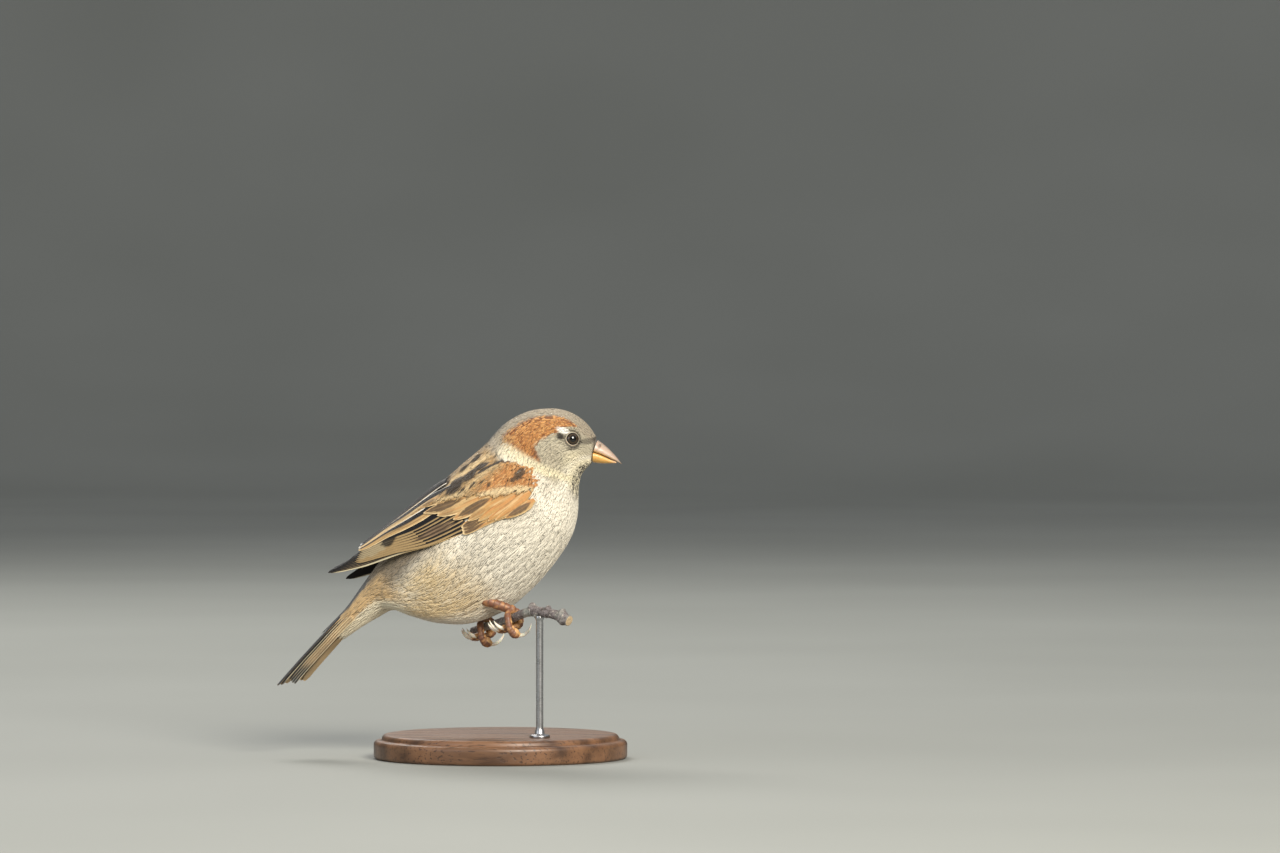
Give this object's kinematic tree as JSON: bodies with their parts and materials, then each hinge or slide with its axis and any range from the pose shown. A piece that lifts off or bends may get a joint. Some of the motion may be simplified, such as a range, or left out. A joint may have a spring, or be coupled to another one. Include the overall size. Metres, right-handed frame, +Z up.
{
  "type": "house sparrow on a display stand",
  "caption": "Life-size male house sparrow in winter plumage, perched on a short cut twig that a rod holds over a plain round wooden base.",
  "frame": {"origin": "centre of the stand base's underside", "axes": "+X the way the bird faces, +Y its left, +Z up"},
  "size_m": [0.1168, 0.084, 0.1159],
  "materials": {
    "crown": "feathers, grey crown with chestnut sides",
    "breast": "feathers, buff grey",
    "wing": "feathers, chestnut and buff with dark centres",
    "quill": "flight feathers, dark with buff edges",
    "bill": "horn, satin",
    "eye": "wet gloss",
    "leg": "scaled skin",
    "claw": "horn, satin",
    "bark": "bark",
    "walnut": "satin",
    "steel": "brushed"
  },
  "bodies": {
    "root": {"bill_lower": "bill", "bill_upper": "bill", "claw_left_hind": "claw", "claw_left_inner": "claw", "claw_left_middle": "claw", "claw_left_outer": "claw", "claw_right_hind": "claw", "claw_right_inner": "claw", "claw_right_middle": "claw", "claw_right_outer": "claw", "eye_left": "eye", "eye_right": "eye", "foot_left": "leg", "foot_right": "leg", "head": "crown", "neck": "breast", "perch_twig": "bark", "stand_base": "walnut", "stand_rod": "steel", "tail_coverts": "breast", "tail_feather_left_1": "quill", "tail_feather_left_2": "quill", "tail_feather_left_3": "quill", "tail_feather_left_4": "quill", "tail_feather_left_5": "quill", "tail_feather_left_6": "quill", "tail_feather_right_1": "quill", "tail_feather_right_2": "quill", "tail_feather_right_3": "quill", "tail_feather_right_4": "quill", "tail_feather_right_5": "quill", "tail_feather_right_6": "quill", "tarsus_left": "leg", "tarsus_right": "leg", "trunk": "breast", "wing_left_coverts": "wing", "wing_left_primaries": "quill", "wing_left_secondaries": "wing", "wing_right_coverts": "wing", "wing_right_primaries": "quill", "wing_right_secondaries": "wing"}
  },
  "joints": []
}
